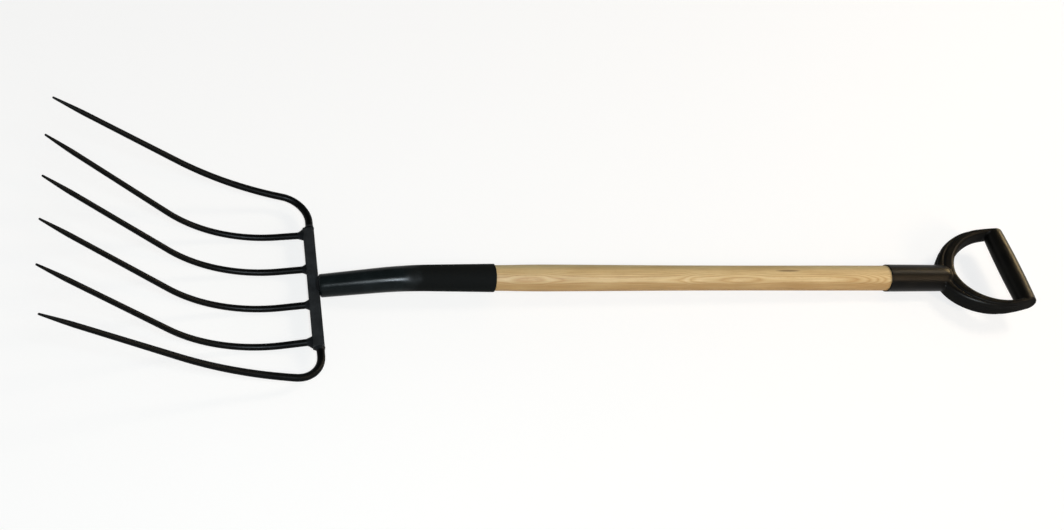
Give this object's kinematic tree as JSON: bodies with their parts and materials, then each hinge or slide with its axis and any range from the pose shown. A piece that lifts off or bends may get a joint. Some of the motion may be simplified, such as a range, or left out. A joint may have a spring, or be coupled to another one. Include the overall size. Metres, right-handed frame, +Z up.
{
  "type": "ensilage fork",
  "caption": "Long-handled fork with a wide head of curved steel tines, a bent socket, a round ash shaft and a moulded D-shaped hand grip.",
  "frame": {"origin": "centre of the bounding box in X and Y, on the floor that the fork lies on", "axes": "+X runs from the tines towards the grip, +Y is the fork's width to the left of someone looking along +X, +Z is up with the tines' points upwards"},
  "size_m": [1.1956, 0.2816, 0.1633],
  "materials": {
    "black_painted_steel": "satin black paint over steel",
    "ash_wood": "sanded and lightly oiled ash",
    "black_plastic": "fine-textured moulded polypropylene",
    "zinc_plated_steel": "zinc plated"
  },
  "bodies": {
    "root": {"cross_bar": "black_painted_steel", "tine_1": "black_painted_steel", "tine_2": "black_painted_steel", "tine_3": "black_painted_steel", "tine_4": "black_painted_steel", "tine_5": "black_painted_steel", "tine_6": "black_painted_steel", "weld_1": "black_painted_steel", "weld_2": "black_painted_steel", "weld_3": "black_painted_steel", "weld_4": "black_painted_steel", "weld_5": "black_painted_steel", "weld_6": "black_painted_steel", "socket_weld_top": "black_painted_steel", "socket_weld_under": "black_painted_steel", "socket": "black_painted_steel", "shaft": "ash_wood", "d_grip": "black_plastic", "socket_rivet": "zinc_plated_steel", "grip_screw": "zinc_plated_steel"}
  },
  "joints": []
}
